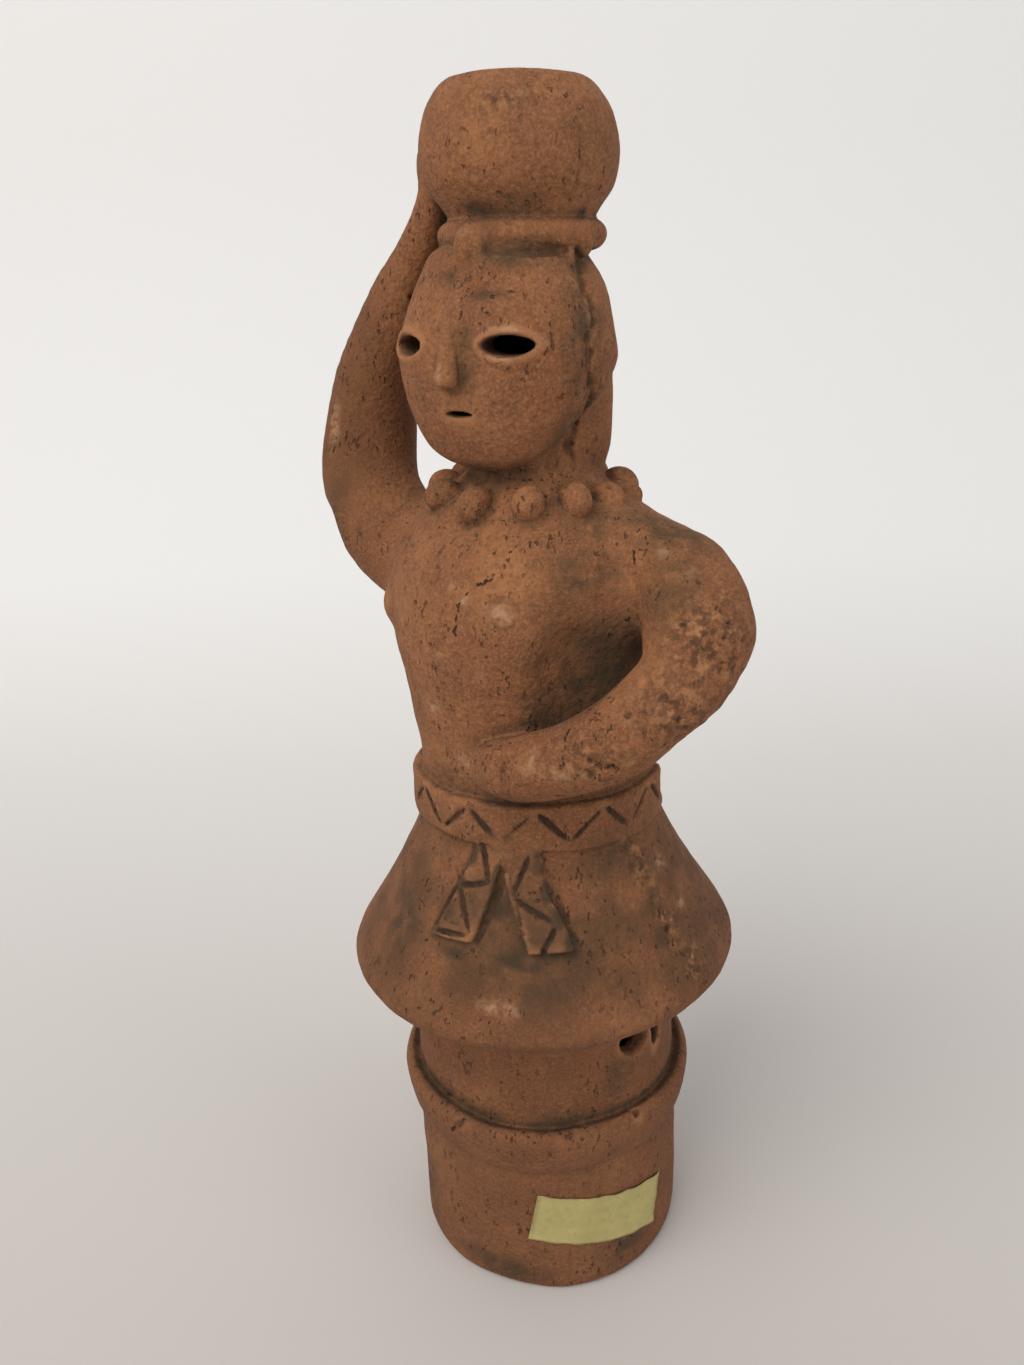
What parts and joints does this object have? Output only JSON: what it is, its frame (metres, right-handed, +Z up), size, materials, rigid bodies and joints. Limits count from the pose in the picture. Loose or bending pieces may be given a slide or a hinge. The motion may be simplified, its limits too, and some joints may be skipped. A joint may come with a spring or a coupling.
{
  "type": "haniwa figurine",
  "caption": "Hollow terracotta souvenir haniwa of a woman steadying a jar on her head, on a drum base with a raised rib and a bare paper label.",
  "frame": {"origin": "on the floor, on the axis of the drum base", "axes": "+Z up; the figure faces -Y; her left hand side is +X"},
  "size_m": [0.0991, 0.0818, 0.24],
  "materials": {
    "terracotta": "matte",
    "paper": "matte"
  },
  "bodies": {
    "root": {"haniwa_figure": "terracotta", "paper_sticker": "paper"}
  },
  "joints": []
}
